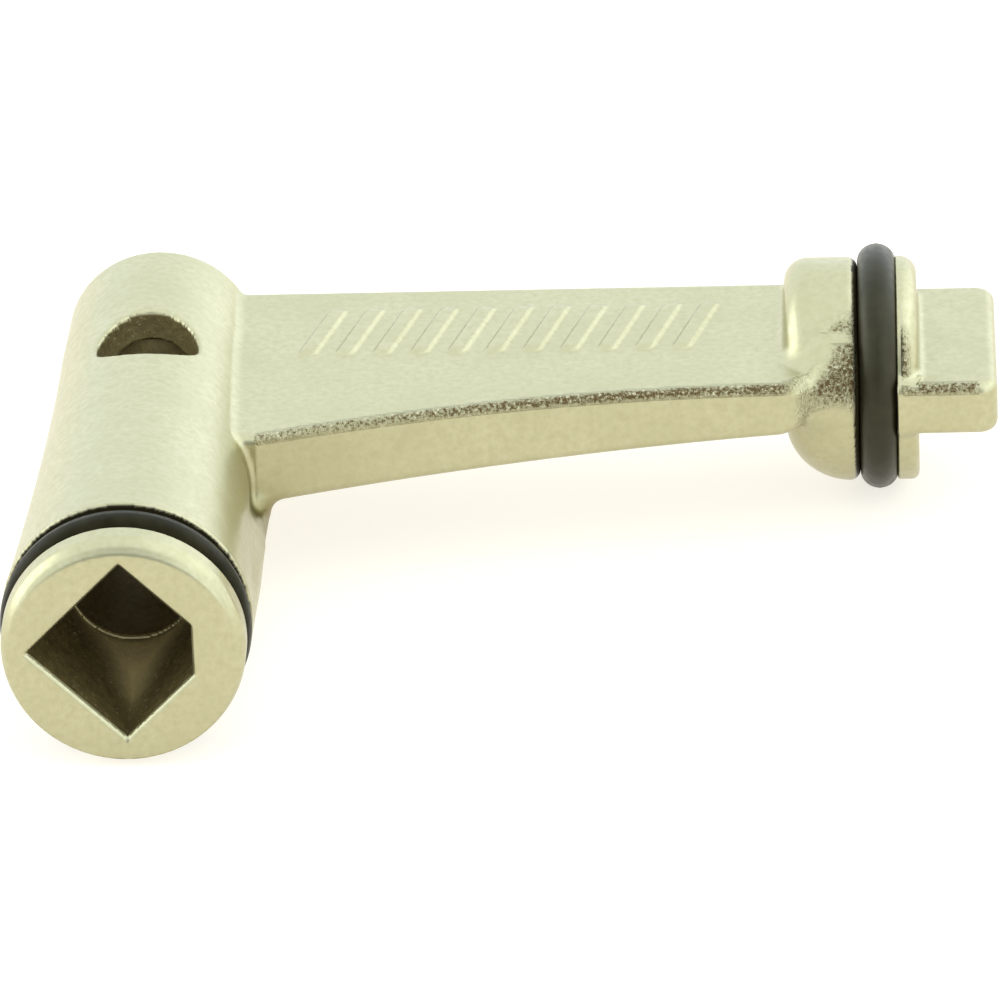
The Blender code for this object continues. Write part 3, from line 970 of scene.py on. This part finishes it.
def make_panel(name, side, watts):
    """Soft rectangular light on one side of the table, aimed at the key."""
    data = bpy.data.lights.new(name, "AREA")
    data.shape = "RECTANGLE"
    data.size, data.size_y = PANEL_SIZE
    data.energy = watts
    data.color = PANEL_COLOUR
    panel = bpy.data.objects.new(name, data)
    panel.location = (side, PANEL_BACK, PANEL_HEIGHT)
    panel.rotation_euler = (-panel.location).to_track_quat("-Z", "Y").to_euler()
    bpy.context.scene.collection.objects.link(panel)


def make_room():
    """Even bright room, brighter to the right and dimmer in front, where the camera stands."""
    world = bpy.data.worlds.new("room")
    world.use_nodes = True
    tree = world.node_tree
    direction = tree.nodes.new("ShaderNodeTexCoord").outputs["Generated"]

    def math_node(operation, a, b):
        node = tree.nodes.new("ShaderNodeMath")
        node.operation = operation
        tree.links.new(a, node.inputs[0])
        tree.links.new(b, node.inputs[1])
        return node.outputs["Value"]

    def ramp(source, low, high, to_low, to_high):
        node = tree.nodes.new("ShaderNodeMapRange")
        node.interpolation_type = "SMOOTHSTEP"
        for name, value in zip(("From Min", "From Max", "To Min", "To Max"), (low, high, to_low, to_high)):
            node.inputs[name].default_value = value
        tree.links.new(source, node.inputs["Value"])
        return node.outputs["Result"]

    split = tree.nodes.new("ShaderNodeSeparateXYZ")
    tree.links.new(direction, split.inputs["Vector"])
    toward = tree.nodes.new("ShaderNodeVectorMath")
    toward.operation = "DOT_PRODUCT"
    toward.inputs[1].default_value = DIM_DIRECTION
    tree.links.new(direction, toward.inputs[0])
    right = ramp(split.outputs["X"], RIGHT_START, RIGHT_END, ROOM_LEVEL, ROOM_LEVEL + RIGHT_LEVEL)
    far_right = ramp(split.outputs["X"], FAR_RIGHT_START, FAR_RIGHT_END, 0.0, FAR_RIGHT_FALL)
    dimming = ramp(toward.outputs["Value"], DIM_START, DIM_END, 1.0, DIM_LEVEL)
    level = math_node("MULTIPLY", math_node("SUBTRACT", right, far_right), dimming)
    background = tree.nodes["Background"]
    background.inputs["Color"].default_value = ROOM_COLOUR
    tree.links.new(level, background.inputs["Strength"])
    bpy.context.scene.world = world


def make_floor():
    """Pale light table, lit a little from below so that shadows stay faint."""
    height = float(cad_box[0][2])
    signs = ((-1, -1), (1, -1), (1, 1), (-1, 1))
    corners = [(x * FLOOR_REACH, y * FLOOR_REACH, height) for x, y in signs]
    mesh = bpy.data.meshes.new("floor")
    mesh.from_pydata(corners, [], [(0, 1, 2, 3)])
    mesh.materials.append(pale_table())
    floor = bpy.data.objects.new("floor", mesh)
    bpy.context.scene.collection.objects.link(floor)


bpy.context.scene.view_settings.view_transform = "Standard"
make_camera()
make_room()
make_floor()
make_panel("left_panel", -PANEL_SIDE, LEFT_PANEL_WATTS)
make_panel("right_panel", PANEL_SIDE, RIGHT_PANEL_WATTS)

metal = plated_casting()
# The socket's seal gets a duller copy of the rubber, painted shade for the lip's shadow over it
shaded_socket_rubber = black_rubber("shaded_socket_rubber", index=1.2, level=0.4, tint=(1.0, 0.9, 0.42))
tang_rubber = black_rubber("tang_rubber", index=1.5, level=0.42, tint=(1.0, 0.95, 0.65))

body = make_casting(metal)
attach(body, "root")
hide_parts("key_body")

socket_ring = make_ring(
    "socket_seal",
    "Y",
    (0.0, RING_MIDDLE, 0.0),
    SOCKET_SEAL_INNER,
    SOCKET_SEAL_OUTER,
    SOCKET_SEAL_WIDTH,
    shaded_socket_rubber,
)
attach(socket_ring, "root")
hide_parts("socket_o_ring")

tang_ring = make_ring(
    "tang_seal",
    "X",
    (TANG_SEAL_X, BOSS_AXIS_Y, 0.0),
    TANG_SEAL_INNER,
    TANG_SEAL_OUTER,
    TANG_SEAL_WIDTH,
    tang_rubber,
)
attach(tang_ring, "root")
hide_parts("tang_o_ring")
